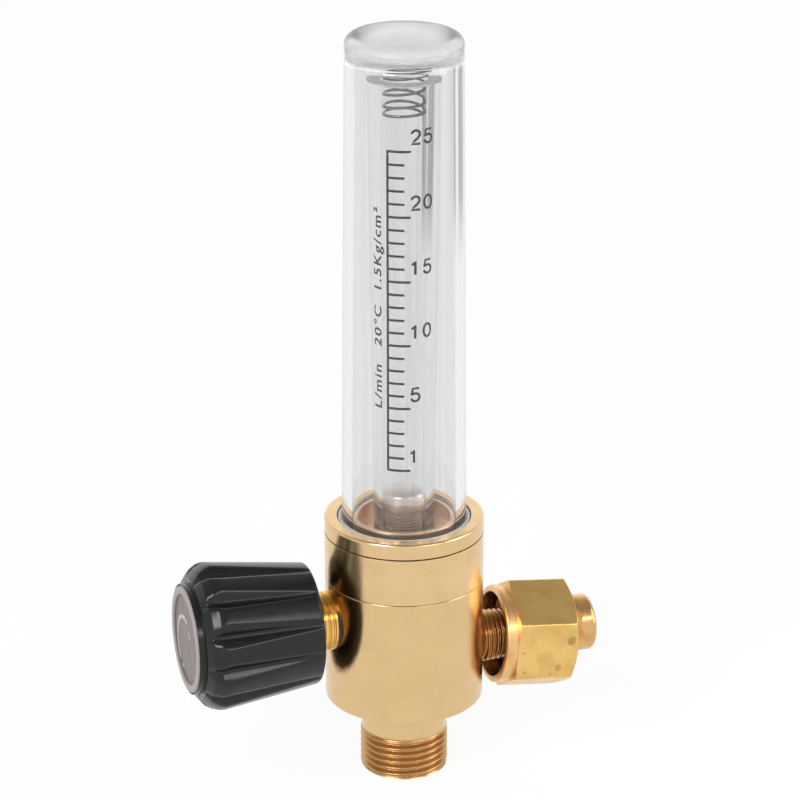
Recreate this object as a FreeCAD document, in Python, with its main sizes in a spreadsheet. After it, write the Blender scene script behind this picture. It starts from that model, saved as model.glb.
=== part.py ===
import FreeCAD, Part
import math
import os

import Sketcher

# An oxygen flowmeter, millimetres, +Z up. The origin is on the inlet thread's axis, where
# the full thread starts above its chamfered tip. The knob points to -X, the outlet to +X.

SIZES = {
    # inlet thread, shank and body block
    "thread_radius": 8.33,
    "thread_length": 8.4,
    "thread_tip": 0.8,
    "shank_radius": 8.15,
    "shank_length": 6.0,
    "body_radius": 15.0,
    "body_edge": 0.5,
    "valve_cover": 1.5,
    "joint_chamfer": 0.25,
    "ring_nut_wall": 1.95,
    "ring_thread_length": 6.9,
    "thread_gap": 0.05,
    # cup and socket that hold the metering tube
    "cup_wall": 0.9,
    "cup_depth": 3.0,
    "cup_edge": 0.35,
    "neck_length": 5.8,
    "neck_gap": 0.25,
    "socket_depth": 5.0,
    # inlet filter
    "filter_radius": 4.5,
    "filter_depth": 6.8,
    "filter_thickness": 1.6,
    "filter_ring_thickness": 1.0,
    "filter_ring_wall": 1.1,
    # passages drilled in the body
    "inlet_passage_radius": 1.5,
    "inlet_passage_offset": 2.8,
    "riser_radius": 0.8,
    "riser_offset": 2.0,
    "plenum_height": 1.0,
    "outlet_passage_wall": 0.185,
    "outlet_bore_radius": 2.5,
    # ring nut over the foot of the cover
    "ring_lip": 2.85,
    "ring_hole_gap": 0.3,
    "ring_edge": 0.5,
    "groove_drop": 3.05,
    "groove_width": 0.3,
    "groove_depth": 0.2,
    # clear outer cover and its gasket
    "gasket_thickness": 0.6,
    "flange_gap": 0.1,
    "flange_thickness": 2.0,
    "flange_step": 0.65,
    "collar_height": 2.2,
    "collar_step": 0.58,
    "cover_taper": 0.94,
    "cover_wall": 1.85,
    "cover_top_thickness": 3.0,
    "cover_head_room": 4.6,
    "cover_round": 1.8,
    "cover_inner_round": 1.2,
    # clear metering tube and its seal
    "seal_thickness": 0.8,
    "tube_foot_radius": 5.7,
    "tube_top_radius": 6.8,
    "tube_length": 92.3,
    "tube_foot_length": 11.6,
    "tube_bore_foot": 4.12,
    "tube_bore_top": 4.35,
    "tube_edge": 0.3,
    "tube_fit": 0.05,
    "seal_hole_gap": 0.3,
    # seat insert, float and stop spring
    "seat_thread_radius": 2.9,
    "seat_thread_length": 5.2,
    "seat_stem_radius": 3.43,
    "seat_top_radius": 3.85,
    "seat_top_height": 1.0,
    "seat_height": 11.2,
    "seat_bore": 0.9,
    "seat_groove_depth": 0.35,
    "seat_groove_width": 0.9,
    "float_radius": 3.92,
    "float_height": 3.0,
    "float_round": 1.7,
    "float_hollow": 1.7,
    "float_gap": 0.05,
    "spring_radius": 3.72,
    "wire_radius": 0.26,
    "spring_length": 11.8,
    "spring_turns": 6.0,
    # needle valve: bonnet, seals and stem
    "valve_height": 31.2,
    "orifice_radius": 1.0,
    "orifice_land": 1.0,
    "chamber_radius": 3.0,
    "spotface_radius": 6.2,
    "spotface_depth": 1.1,
    "bonnet_socket_depth": 5.9,
    "bonnet_thread_radius": 5.0,
    "bonnet_seal_thickness": 0.6,
    "bonnet_radius": 5.6,
    "bonnet_collar_length": 4.9,
    "bonnet_tail_radius": 4.2,
    "bonnet_tail_length": 2.6,
    "bonnet_groove_depth": 0.3,
    "bonnet_groove_width": 0.5,
    "stem_thread_radius": 2.4,
    "stem_thread_length": 4.4,
    "stem_thread_setback": 1.0,
    "stem_radius": 1.75,
    "stem_gap": 0.05,
    "stem_reach": 14.4,
    "needle_radius": 1.37,
    "needle_length": 4.0,
    "needle_gap": 0.03,
    "needle_tip_radius": 0.1,
    "packing_wire": 0.72,
    "packing_depth": 0.5,
    "packing_slack": 0.06,
    "packing_room": 2.6,
    "gland_radius": 2.9,
    # knob
    "knob_overlap": 0.8,
    "knob_grip_length": 18.4,
    "knob_shoulder_length": 4.2,
    "knob_hub_length": 1.5,
    "knob_rear_radius": 11.5,
    "knob_lobe_radius": 14.1,
    "knob_hub_radius": 10.9,
    "knob_rear_edge": 0.6,
    "knob_shoulder_edge": 2.0,
    "knob_shoulder_drop": 0.6,
    "knob_rear_recess_radius": 8.5,
    "knob_rear_recess_depth": 6.4,
    "knob_web": 11.4,
    "knob_front_recess_radius": 6.0,
    "valley_phase": -8.0,
    "valley_front_radius": 11.9,
    "valley_rear_radius": 11.15,
    "valley_half_angle": 42.0,
    "bushing_radius": 3.4,
    "bushing_head_radius": 4.6,
    "bushing_head": 1.2,
    "bushing_gap": 0.02,
    "screw_radius": 1.3,
    "screw_length": 8.0,
    "screw_head_radius": 2.8,
    "screw_head_height": 1.9,
    "screw_slot_width": 0.8,
    "screw_slot_depth": 0.9,
    "cap_radius": 10.1,
    "cap_gap": 0.15,
    "cap_pocket_depth": 0.7,
    "cap_thickness": 0.95,
    "cap_dish_radius": 8.3,
    "cap_dish_depth": 0.45,
    "cap_edge": 0.3,
    "cap_plug_radius": 5.9,
    "cap_plug_length": 1.6,
    "cap_plug_wall": 1.2,
    # outlet nipple and the loose union nut on it
    "outlet_height": 23.6,
    "outlet_thread_radius": 4.9,
    "outlet_socket_depth": 6.0,
    "outlet_thread_reach": 5.5,
    "nipple_flange_radius": 7.0,
    "nipple_flange_length": 3.0,
    "nipple_shaft_radius": 5.05,
    "spigot_radius": 5.4,
    "spigot_length": 2.9,
    "nipple_bore": 3.0,
    "nipple_length": 14.0,
    "nipple_round": 1.0,
    "nut_flats": 19.1,
    "nut_stand_off": 2.5,
    "nut_length": 14.4,
    "nut_wall": 3.8,
    "nut_collar_radius": 9.4,
    "nut_collar_edge": 0.7,
    "nut_collar_length": 2.1,
    "nut_collar_rise": 0.4,
    "nut_chamfer_run": 0.8,
    "nut_thread_bore": 7.85,
    "nut_mouth_radius": 8.15,
    "nut_mouth_depth": 1.3,
    "nut_bore": 6.8,
    "nut_tilt": 6.1,
    "nut_drop": 1.24,
    "nut_turn": -1.3,
}

SEAT_RINGS = 4
BONNET_RINGS = 4
KNOB_LOBES = 12


class Size:
    """A length that knows its value and how the sheet of sizes gives it."""

    def __init__(self, value, text):
        self.value = value
        self.text = text

    def __add__(self, other):
        return Size(self.value + plain(other), "(%s + %s)" % (self.text, words(other)))

    def __sub__(self, other):
        return Size(self.value - plain(other), "(%s - %s)" % (self.text, words(other)))

    def __mul__(self, other):
        return Size(self.value * plain(other), "(%s * %s)" % (self.text, words(other)))

    def __truediv__(self, other):
        return Size(self.value / plain(other), "(%s / %s)" % (self.text, words(other)))

    def __rsub__(self, other):
        return Size(plain(other) - self.value, "(%s - %s)" % (words(other), self.text))

    def __neg__(self):
        return Size(-self.value, "(0 - %s)" % self.text)

    __radd__ = __add__
    __rmul__ = __mul__


def plain(length):
    return length.value if isinstance(length, Size) else float(length)


def words(length):
    return length.text if isinstance(length, Size) else repr(float(length))


class SizeSheet:
    """Writes the sizes in a spreadsheet and hands each one out by its name."""

    def __init__(self, document, sizes):
        self.sheet = document.addObject("Spreadsheet::Sheet", "sizes")
        for row, (name, value) in enumerate(sizes.items(), start=1):
            self.sheet.set("A%d" % row, name)
            self.sheet.set("B%d" % row, repr(float(value)))
            self.sheet.setAlias("B%d" % row, name)
            setattr(self, name, Size(float(value), "sizes.%s" % name))
        document.recompute()


doc = FreeCAD.newDocument("oxygen_flowmeter")
s = SizeSheet(doc, SIZES)
ZERO = 0.0
AROUND_X = FreeCAD.Rotation(FreeCAD.Vector(0, 1, 0), 90)
UPRIGHT = FreeCAD.Rotation()


# Levels up the body's axis, worked out once from the sizes.

body_bottom = s.thread_length + s.shank_length
body_top = s.valve_height + s.spotface_radius + s.valve_cover
thread_top = body_top + s.ring_thread_length
neck_top = thread_top + s.neck_length
cup_floor = neck_top - s.cup_depth
socket_floor = cup_floor - s.socket_depth
flange_bottom = thread_top + s.gasket_thickness
flange_top = flange_bottom + s.flange_thickness
ring_top = flange_top + s.ring_lip
tube_foot = socket_floor + s.seal_thickness
tube_top = tube_foot + s.tube_length
cover_ceiling = tube_top + s.cover_head_room
cover_top = cover_ceiling + s.cover_top_thickness
seat_top = socket_floor + s.seat_height
seat_thread_bottom = socket_floor - s.seat_thread_length
plenum_bottom = seat_thread_bottom - s.plenum_height
float_bottom = seat_top + s.float_gap

# Radii that follow from the body's own.

ring_thread_radius = s.body_radius - s.ring_nut_wall
flange_radius = ring_thread_radius - s.flange_gap
collar_radius = flange_radius - s.flange_step
cover_foot_radius = collar_radius - s.collar_step
cover_top_radius = cover_foot_radius - s.cover_taper
cover_inner_foot = cover_foot_radius - s.cover_wall
cover_inner_top = cover_top_radius - s.cover_wall
neck_radius = cover_inner_foot - s.neck_gap
cup_radius = neck_radius - s.cup_wall
socket_radius = s.tube_foot_radius + s.tube_fit
outlet_passage_offset = (socket_radius + cup_radius) / 2
outlet_passage_radius = (cup_radius - socket_radius) / 2 - s.outlet_passage_wall

# Distances out along the valve, towards the knob.

spotface_start = s.body_radius - s.spotface_depth
bonnet_socket_start = spotface_start - s.bonnet_socket_depth
bonnet_face = spotface_start + s.bonnet_seal_thickness
bonnet_collar_end = bonnet_face + s.bonnet_collar_length
bonnet_tail_end = bonnet_collar_end + s.bonnet_tail_length
packing_start = bonnet_face + s.packing_depth
gland_start = packing_start + s.packing_room
stem_thread_start = bonnet_socket_start + s.stem_thread_setback
knob_rear = bonnet_collar_end - s.knob_overlap
knob_shoulder = knob_rear + s.knob_grip_length
knob_shoulder_end = knob_shoulder + s.knob_shoulder_length
knob_front = knob_shoulder_end + s.knob_hub_length
cap_seat = knob_front - s.cap_pocket_depth
recess_floor = knob_rear + s.knob_rear_recess_depth
web_front = recess_floor + s.knob_web
stem_end = knob_rear + s.stem_reach

# Distances out along the outlet.

outlet_thread_start = s.body_radius - s.outlet_socket_depth
nipple_flange_start = s.body_radius + s.outlet_thread_reach
nipple_flange_end = nipple_flange_start + s.nipple_flange_length
nipple_end = nipple_flange_end + s.nipple_length
spigot_start = nipple_end - s.spigot_length
nut_mouth = s.body_radius + s.nut_stand_off
nut_end = nut_mouth + s.nut_length


def corner_constraints(sketch, index, across, along):
    """Holds the first point of a line at its two distances from the origin."""
    for kind, distance, axis in (("DistanceX", across, -2), ("DistanceY", along, -1)):
        if isinstance(distance, Size):
            number = sketch.addConstraint(
                Sketcher.Constraint(kind, -1, 1, index, 1, distance.value))
            sketch.setExpression("Constraints[%d]" % number, distance.text)
        else:
            sketch.addConstraint(Sketcher.Constraint("PointOnObject", index, 1, axis))


def outline_sketch(body, name, corners, plane="XZ_Plane"):
    """A closed outline of straight sides through the corners, on a plane of the body."""
    sketch = body.newObject("Sketcher::SketchObject", name)
    origin_plane = [part for part in body.Origin.OriginFeatures if part.Role == plane][0]
    sketch.AttachmentSupport = (origin_plane, [""])
    sketch.MapMode = "FlatFace"
    points = [FreeCAD.Vector(plain(a), plain(b), 0) for a, b in corners]
    for start, end in zip(points, points[1:] + points[:1]):
        sketch.addGeometry(Part.LineSegment(start, end), False)
    count = len(points)
    for index in range(count):
        sketch.addConstraint(
            Sketcher.Constraint("Coincident", index, 2, (index + 1) % count, 1))
    for index, (across, along) in enumerate(corners):
        corner_constraints(sketch, index, across, along)
    return sketch


def turned(name, corners, axis="V_Axis"):
    """A piece turned on a lathe: its half section swept once round the axis."""
    body = doc.addObject("PartDesign::Body", name)
    sketch = outline_sketch(body, name + "_section", corners)
    revolution = body.newObject("PartDesign::Revolution", name + "_turned")
    revolution.Profile = sketch
    revolution.ReferenceAxis = (sketch, [axis])
    revolution.Angle = 360.0
    sketch.Visibility = False
    doc.recompute()
    return body


def place(piece, x=ZERO, y=ZERO, z=ZERO, rotation=UPRIGHT):
    """Puts a piece at its place, with each coordinate tied to the sheet."""
    base = FreeCAD.Vector(plain(x), plain(y), plain(z))
    piece.Placement = FreeCAD.Placement(base, rotation)
    for coordinate, distance in (("x", x), ("y", y), ("z", z)):
        if isinstance(distance, Size):
            piece.setExpression("Placement.Base." + coordinate, distance.text)
    return piece


def cylinder(name, radius, length, x=ZERO, z=ZERO, rotation=UPRIGHT):
    piece = doc.addObject("Part::Cylinder", name)
    piece.Radius = plain(radius)
    piece.setExpression("Radius", words(radius))
    piece.Height = plain(length)
    piece.setExpression("Height", words(length))
    return place(piece, x=x, z=z, rotation=rotation)


def fused(name, pieces):
    joined = doc.addObject("Part::MultiFuse", name)
    joined.Shapes = pieces
    return joined


def cut(name, base, tool):
    result = doc.addObject("Part::Cut", name)
    result.Base = base
    result.Tool = tool
    doc.recompute()
    return result


def common(name, first, second):
    result = doc.addObject("Part::MultiCommon", name)
    result.Shapes = [first, second]
    doc.recompute()
    return result


def circle_edges(shape, radius, centre):
    """Names of the round edges of one radius about one centre."""
    names = []
    for number, edge in enumerate(shape.Edges, start=1):
        curve = edge.Curve
        if isinstance(curve, Part.Circle) and abs(curve.Radius - radius) < 1e-4 \
                and (curve.Center - centre).Length < 1e-4:
            names.append("Edge%d" % number)
    return names


def rounded(body, radius, edge_radius, centre):
    """Rounds one round edge of a turned piece."""
    base = body.Tip
    edges = circle_edges(base.Shape, plain(edge_radius), centre)
    fillet = body.newObject("PartDesign::Fillet", body.Name + "_round")
    fillet.Base = (base, edges)
    fillet.Radius = plain(radius)
    fillet.setExpression("Radius", words(radius))
    body.Tip = fillet
    doc.recompute()
    return body


def on_axis(z):
    return FreeCAD.Vector(0, 0, plain(z))


# Valve body: inlet thread, block, ring nut thread, and the cup and socket on top.

def make_valve_body():
    top_chamfer = s.joint_chamfer
    corners = [
        (ZERO, -s.thread_tip),
        (s.thread_radius - s.thread_tip, -s.thread_tip),
        (s.thread_radius, ZERO),
        (s.thread_radius, s.thread_length),
        (s.shank_radius, s.thread_length),
        (s.shank_radius, body_bottom),
        (s.body_radius - s.body_edge, body_bottom),
        (s.body_radius, body_bottom + s.body_edge),
        (s.body_radius, body_top - top_chamfer),
        (s.body_radius - top_chamfer, body_top),
        (ring_thread_radius, body_top),
        (ring_thread_radius, thread_top),
        (neck_radius, thread_top),
        (neck_radius, neck_top - s.cup_edge),
        (neck_radius - s.cup_edge, neck_top),
        (cup_radius, neck_top),
        (cup_radius, cup_floor),
        (socket_radius, cup_floor),
        (socket_radius, socket_floor),
        (s.seat_thread_radius + s.thread_gap, socket_floor),
        (s.seat_thread_radius + s.thread_gap, plenum_bottom),
        (ZERO, plenum_bottom),
    ]
    block = turned("body_block", corners)
    filter_bore = cylinder("filter_bore", s.filter_radius + s.thread_gap,
                           s.filter_depth, z=-s.thread_tip)
    filter_top = s.filter_depth - s.thread_tip
    inlet_passage = cylinder("inlet_passage", s.inlet_passage_radius,
                             s.valve_height - filter_top + s.thread_tip,
                             x=s.inlet_passage_offset, z=filter_top - s.thread_tip)
    riser = cylinder("riser", s.riser_radius, plenum_bottom - s.valve_height + s.orifice_land,
                     x=-(s.riser_offset), z=s.valve_height)
    outlet_passage = cylinder("outlet_passage", outlet_passage_radius,
                              cup_floor - s.outlet_height + s.cup_edge,
                              x=outlet_passage_offset, z=s.outlet_height)
    outlet_socket = cylinder("outlet_socket", s.outlet_thread_radius + s.thread_gap,
                             s.body_radius - outlet_thread_start + s.body_edge,
                             x=outlet_thread_start, z=s.outlet_height, rotation=AROUND_X)
    outlet_bore = cylinder("outlet_bore", s.outlet_bore_radius,
                           outlet_thread_start - outlet_passage_offset + s.body_edge,
                           x=outlet_passage_offset, z=s.outlet_height, rotation=AROUND_X)
    bonnet_socket = cylinder("bonnet_socket", s.bonnet_thread_radius + s.thread_gap,
                             s.body_radius - bonnet_socket_start,
                             x=-s.body_radius, z=s.valve_height, rotation=AROUND_X)
    spotface = cylinder("spotface", s.spotface_radius,
                        s.body_radius - spotface_start + s.body_edge,
                        x=-(s.body_radius + s.body_edge), z=s.valve_height, rotation=AROUND_X)
    chamber = cylinder("chamber", s.chamber_radius, s.body_radius - s.orifice_land,
                       x=-s.body_radius, z=s.valve_height, rotation=AROUND_X)
    orifice = cylinder("orifice", s.orifice_radius,
                       s.body_radius + s.inlet_passage_offset,
                       x=-s.body_radius, z=s.valve_height, rotation=AROUND_X)
    holes = fused("body_holes", [filter_bore, inlet_passage, riser, outlet_passage,
                                 outlet_socket, outlet_bore, bonnet_socket, spotface,
                                 chamber, orifice])
    return cut("valve_body", block, holes)


# Sintered inlet filter, held against its step by a spring ring.

def make_inlet_filter():
    top = s.filter_depth - s.thread_tip
    bottom = top - s.filter_thickness
    return turned("inlet_filter", [
        (ZERO, bottom), (s.filter_radius, bottom), (s.filter_radius, top), (ZERO, top)])


def make_filter_ring():
    top = s.filter_depth - s.thread_tip - s.filter_thickness
    bottom = top - s.filter_ring_thickness
    hole = s.filter_radius - s.filter_ring_wall
    return turned("filter_ring", [
        (hole, bottom), (s.filter_radius, bottom), (s.filter_radius, top), (hole, top)])


# Ring nut: threaded below, with a lip above that clamps the foot of the cover.

def make_tube_ring_nut():
    bore = ring_thread_radius + s.thread_gap
    hole = collar_radius + s.ring_hole_gap
    groove_middle = ring_top - s.groove_drop
    groove_floor = s.body_radius - s.groove_depth
    half_groove = s.groove_width / 2
    return turned("tube_ring_nut", [
        (bore, body_top),
        (s.body_radius - s.joint_chamfer, body_top),
        (s.body_radius, body_top + s.joint_chamfer),
        (s.body_radius, groove_middle - half_groove),
        (groove_floor, groove_middle),
        (s.body_radius, groove_middle + half_groove),
        (s.body_radius, ring_top - s.ring_edge),
        (s.body_radius - s.ring_edge, ring_top),
        (hole + s.joint_chamfer, ring_top),
        (hole, ring_top - s.joint_chamfer),
        (hole, flange_top),
        (bore, flange_top)])


# Clear cover: a closed tube with a foot flange and a rounded top.

def make_outer_cover():
    cover = turned("outer_cover", [
        (cover_inner_foot, flange_bottom),
        (flange_radius, flange_bottom),
        (flange_radius, flange_top),
        (collar_radius, flange_top),
        (collar_radius, flange_top + s.collar_height),
        (cover_foot_radius, flange_top + s.collar_height),
        (cover_top_radius, cover_top),
        (ZERO, cover_top),
        (ZERO, cover_ceiling),
        (cover_inner_top, cover_ceiling)])
    rounded(cover, s.cover_round, cover_top_radius, on_axis(cover_top))
    return rounded(cover, s.cover_inner_round, cover_inner_top, on_axis(cover_ceiling))


def make_cover_gasket():
    return turned("cover_gasket", [
        (cover_inner_foot, thread_top), (flange_radius, thread_top),
        (flange_radius, flange_bottom), (cover_inner_foot, flange_bottom)])


# Clear metering tube: a thick wall, wider at the top inside and out.

def make_metering_tube():
    taper_start = tube_foot + s.tube_foot_length
    return turned("metering_tube", [
        (s.tube_bore_foot, tube_foot),
        (s.tube_foot_radius - s.tube_edge, tube_foot),
        (s.tube_foot_radius, tube_foot + s.tube_edge),
        (s.tube_foot_radius, taper_start),
        (s.tube_top_radius, tube_top - s.tube_edge),
        (s.tube_top_radius - s.tube_edge, tube_top),
        (s.tube_bore_top, tube_top),
        (s.tube_bore_foot, taper_start)])


def make_tube_seal():
    hole = s.seat_stem_radius + s.seal_hole_gap
    return turned("tube_seal", [
        (hole, socket_floor), (s.tube_foot_radius, socket_floor),
        (s.tube_foot_radius, tube_foot), (hole, tube_foot)])


# Seat insert: screwed into the body, with rings round its stem inside the tube's bore.

def make_float_seat():
    stem = s.seat_stem_radius
    groove = stem - s.seat_groove_depth
    shoulder = seat_top - s.seat_top_height
    corners = [
        (s.seat_bore, seat_thread_bottom),
        (s.seat_thread_radius, seat_thread_bottom),
        (s.seat_thread_radius, socket_floor),
        (stem, socket_floor)]
    first_ring = tube_foot + s.seal_thickness
    for ring in range(SEAT_RINGS):
        low = first_ring + s.seat_groove_width * (2 * ring)
        high = low + s.seat_groove_width
        corners += [(stem, low), (groove, low), (groove, high), (stem, high)]
    corners += [
        (stem, shoulder), (s.seat_top_radius, shoulder),
        (s.seat_top_radius, seat_top), (s.seat_bore, seat_top)]
    return turned("float_seat", corners)


# Float: a short bob with a rounded top and a small hollow below.

def make_float():
    top = float_bottom + s.float_height
    bob = turned("float", [
        (ZERO, float_bottom + s.float_hollow),
        (s.float_hollow, float_bottom),
        (s.float_radius, float_bottom),
        (s.float_radius, top),
        (ZERO, top)])
    return rounded(bob, s.float_round, s.float_radius, on_axis(top))


# Stop spring: open coils in the top of the tube's bore, up against the cover.

def make_float_spring():
    rise = s.spring_length - s.wire_radius * 2
    coil = doc.addObject("Part::Helix", "spring_coil")
    coil.LocalCoord = 0
    for name, size in (("Radius", s.spring_radius), ("Height", rise),
                       ("Pitch", rise / s.spring_turns)):
        setattr(coil, name, plain(size))
        coil.setExpression(name, size.text)
    start = cover_ceiling - s.spring_length + s.wire_radius
    place(coil, z=start)
    wire = doc.addObject("Part::Circle", "spring_wire")
    wire.Radius = plain(s.wire_radius)
    wire.setExpression("Radius", s.wire_radius.text)
    place(wire, x=s.spring_radius, z=start,
          rotation=FreeCAD.Rotation(FreeCAD.Vector(1, 0, 0), 90))
    doc.recompute()
    spring = doc.addObject("Part::Sweep", "float_spring")
    spring.Sections = [wire]
    spring.Spine = (coil, ["Edge%d" % (n + 1) for n in range(len(coil.Shape.Edges))])
    spring.Solid = True
    spring.Frenet = True
    return spring


# The valve's pieces are turned about X, with distances measured out from the body's axis.

def turned_on_valve(name, corners):
    section = [(-out if isinstance(out, Size) else ZERO, radius) for out, radius in corners]
    return place(turned(name, section, axis="H_Axis"), z=s.valve_height)


def make_bonnet():
    inner = bonnet_socket_start + s.bonnet_seal_thickness
    thread_bore = s.stem_thread_radius + s.stem_gap
    bore = s.stem_radius + s.stem_gap
    packing_end = packing_start + s.packing_wire * 2 + s.packing_slack * 2
    packing_bore = s.stem_radius + s.packing_wire * 2
    ring = s.bonnet_radius - s.bonnet_groove_depth
    corners = [
        (inner, thread_bore),
        (inner, s.bonnet_thread_radius),
        (bonnet_face, s.bonnet_thread_radius),
        (bonnet_face, s.bonnet_radius)]
    for number in range(BONNET_RINGS):
        low = bonnet_face + s.bonnet_groove_width * (2 * number + 1)
        high = low + s.bonnet_groove_width
        corners += [(low, s.bonnet_radius), (low, ring), (high, ring),
                    (high, s.bonnet_radius)]
    corners += [
        (bonnet_collar_end, s.bonnet_radius),
        (bonnet_collar_end, s.bonnet_tail_radius),
        (bonnet_tail_end, s.bonnet_tail_radius),
        (bonnet_tail_end, s.gland_radius),
        (gland_start, s.gland_radius),
        (gland_start, packing_bore),
        (packing_start, packing_bore),
        (packing_start, thread_bore)]
    return turned_on_valve("bonnet", corners)


def make_bonnet_seal():
    hole = s.bonnet_thread_radius + s.thread_gap
    return turned_on_valve("bonnet_seal", [
        (spotface_start, hole), (spotface_start, s.bonnet_radius),
        (bonnet_face, s.bonnet_radius), (bonnet_face, hole)])


def make_stem_packing():
    ring = doc.addObject("Part::Torus", "stem_packing")
    middle = s.stem_radius + s.stem_gap + s.packing_wire
    ring.Radius1 = plain(middle)
    ring.setExpression("Radius1", middle.text)
    wire = s.packing_wire - s.stem_gap
    ring.Radius2 = plain(wire)
    ring.setExpression("Radius2", wire.text)
    out = packing_start + s.packing_wire + s.packing_slack
    return place(ring, x=-out, z=s.valve_height, rotation=AROUND_X)


# Gland bush: screwed into the bonnet behind the packing.

def make_gland_bush():
    bore = s.stem_radius + s.stem_gap
    outer = s.gland_radius - s.stem_gap
    return turned_on_valve("gland_bush", [
        (gland_start, bore), (gland_start, outer),
        (bonnet_tail_end, outer), (bonnet_tail_end, bore)])


# Stem: needle point, screw thread and a plain shaft with a tapped end.

def make_valve_stem():
    seat_slope = (s.needle_radius - s.needle_tip_radius) / s.needle_length
    touch = s.orifice_radius - s.needle_gap
    needle_root = s.orifice_land + (s.needle_radius - touch) / seat_slope
    needle_tip = needle_root - s.needle_length
    thread_end = stem_thread_start + s.stem_thread_length
    tapped = s.screw_radius + s.bushing_gap
    tapped_floor = stem_end - s.screw_length
    return turned_on_valve("valve_stem", [
        (needle_tip, ZERO),
        (needle_tip, s.needle_tip_radius),
        (needle_root, s.needle_radius),
        (needle_root, s.stem_radius),
        (stem_thread_start, s.stem_radius),
        (stem_thread_start, s.stem_thread_radius),
        (thread_end, s.stem_thread_radius),
        (thread_end, s.stem_radius),
        (stem_end, s.stem_radius),
        (stem_end, tapped),
        (tapped_floor, tapped),
        (tapped_floor, ZERO)])


# Knob: a lobed grip with valleys that run out towards its rear rim.

def make_knob():
    cap_pocket = s.cap_radius + s.cap_gap
    grip = turned("knob_grip", [
        (-knob_rear, s.knob_rear_recess_radius),
        (-knob_rear, s.knob_rear_radius - s.knob_rear_edge),
        (-(knob_rear + s.knob_rear_edge), s.knob_rear_radius),
        (-knob_shoulder, s.knob_lobe_radius),
        (-(knob_shoulder + s.knob_shoulder_edge), s.knob_lobe_radius - s.knob_shoulder_drop),
        (-knob_shoulder_end, s.knob_hub_radius),
        (-knob_front, s.knob_hub_radius),
        (-knob_front, cap_pocket),
        (-cap_seat, cap_pocket),
        (-cap_seat, s.knob_front_recess_radius),
        (-web_front, s.knob_front_recess_radius),
        (-web_front, s.bushing_radius),
        (-recess_floor, s.bushing_radius),
        (-recess_floor, s.knob_rear_recess_radius)], axis="H_Axis")
    length = plain(knob_front - knob_rear)
    rise = plain(s.valley_rear_radius - s.valley_front_radius)
    valley_slope = math.degrees(math.atan2(rise, length))
    valleys = [make_valley(number, valley_slope) for number in range(KNOB_LOBES)]
    knob = cut("knob", grip, fused("knob_valleys", valleys))
    return place(knob, z=s.valve_height)


def make_valley(number, slope):
    """One wedge that cuts a valley, deep at the front and shallow at the rear."""
    reach = s.knob_lobe_radius - s.valley_front_radius + s.knob_shoulder_edge
    wedge = doc.addObject("PartDesign::Body", "valley_%d" % (number + 1))
    half_width = reach * math.tan(math.radians(plain(s.valley_half_angle)))
    sketch = outline_sketch(wedge, "valley_section_%d" % (number + 1),
                            [(ZERO, ZERO), (half_width, reach), (-half_width, reach)],
                            plane="YZ_Plane")
    pad = wedge.newObject("PartDesign::Pad", "valley_pad_%d" % (number + 1))
    pad.Profile = sketch
    length = knob_front - knob_rear
    pad.Length = plain(length)
    pad.setExpression("Length", length.text)
    turn = plain(s.valley_phase) + 360.0 * (number + 0.5) / KNOB_LOBES
    around = FreeCAD.Rotation(FreeCAD.Vector(1, 0, 0), turn)
    lean = FreeCAD.Rotation(FreeCAD.Vector(0, 1, 0), -slope)
    foot = around.multVec(FreeCAD.Vector(-plain(knob_front), 0,
                                         plain(s.valley_front_radius)))
    wedge.Placement = FreeCAD.Placement(foot, around.multiply(lean))
    return wedge


def make_knob_bushing():
    bore = s.stem_radius + s.bushing_gap
    head = recess_floor - s.bushing_head
    return turned_on_valve("knob_bushing", [
        (head, bore), (head, s.bushing_head_radius),
        (recess_floor, s.bushing_head_radius), (recess_floor, s.bushing_radius),
        (web_front, s.bushing_radius), (web_front, s.screw_radius + s.thread_gap),
        (stem_end + s.bushing_gap, s.screw_radius + s.thread_gap),
        (stem_end + s.bushing_gap, bore)])


def make_knob_screw():
    head_top = web_front + s.screw_head_height
    tip = stem_end - s.screw_length + s.screw_radius
    screw = turned_on_valve("knob_screw_blank", [
        (tip, ZERO), (tip, s.screw_radius), (web_front, s.screw_radius),
        (web_front, s.screw_head_radius),
        (head_top - s.screw_slot_depth / 2, s.screw_head_radius),
        (head_top, s.screw_head_radius - s.screw_slot_depth / 2), (head_top, ZERO)])
    slot = doc.addObject("Part::Box", "screw_slot")
    for name, size in (("Length", s.screw_slot_depth), ("Width", s.screw_head_radius * 2),
                       ("Height", s.screw_slot_width)):
        setattr(slot, name, plain(size))
        slot.setExpression(name, size.text)
    place(slot, x=-head_top, y=-s.screw_head_radius,
          z=s.valve_height - s.screw_slot_width / 2)
    return cut("knob_screw", screw, slot)


# Cap: a dished disc let into the knob's front, with a hollow plug that snaps in behind it.

def make_knob_cap():
    face = cap_seat + s.cap_thickness
    plug_end = cap_seat - s.cap_plug_length
    plug_hollow = s.cap_plug_radius - s.cap_plug_wall
    return turned_on_valve("knob_cap", [
        (cap_seat, ZERO),
        (cap_seat, plug_hollow),
        (plug_end, plug_hollow),
        (plug_end, s.cap_plug_radius),
        (cap_seat, s.cap_plug_radius),
        (cap_seat, s.cap_radius),
        (face - s.cap_edge, s.cap_radius),
        (face, s.cap_radius - s.cap_edge),
        (face, s.cap_dish_radius + s.cap_dish_depth),
        (face - s.cap_dish_depth, s.cap_dish_radius),
        (face - s.cap_dish_depth, ZERO)])


# Outlet nipple: one turned piece. Its tail screws into the body, its flange keeps the
# nut on, and its round end stands out of the nut.

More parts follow.
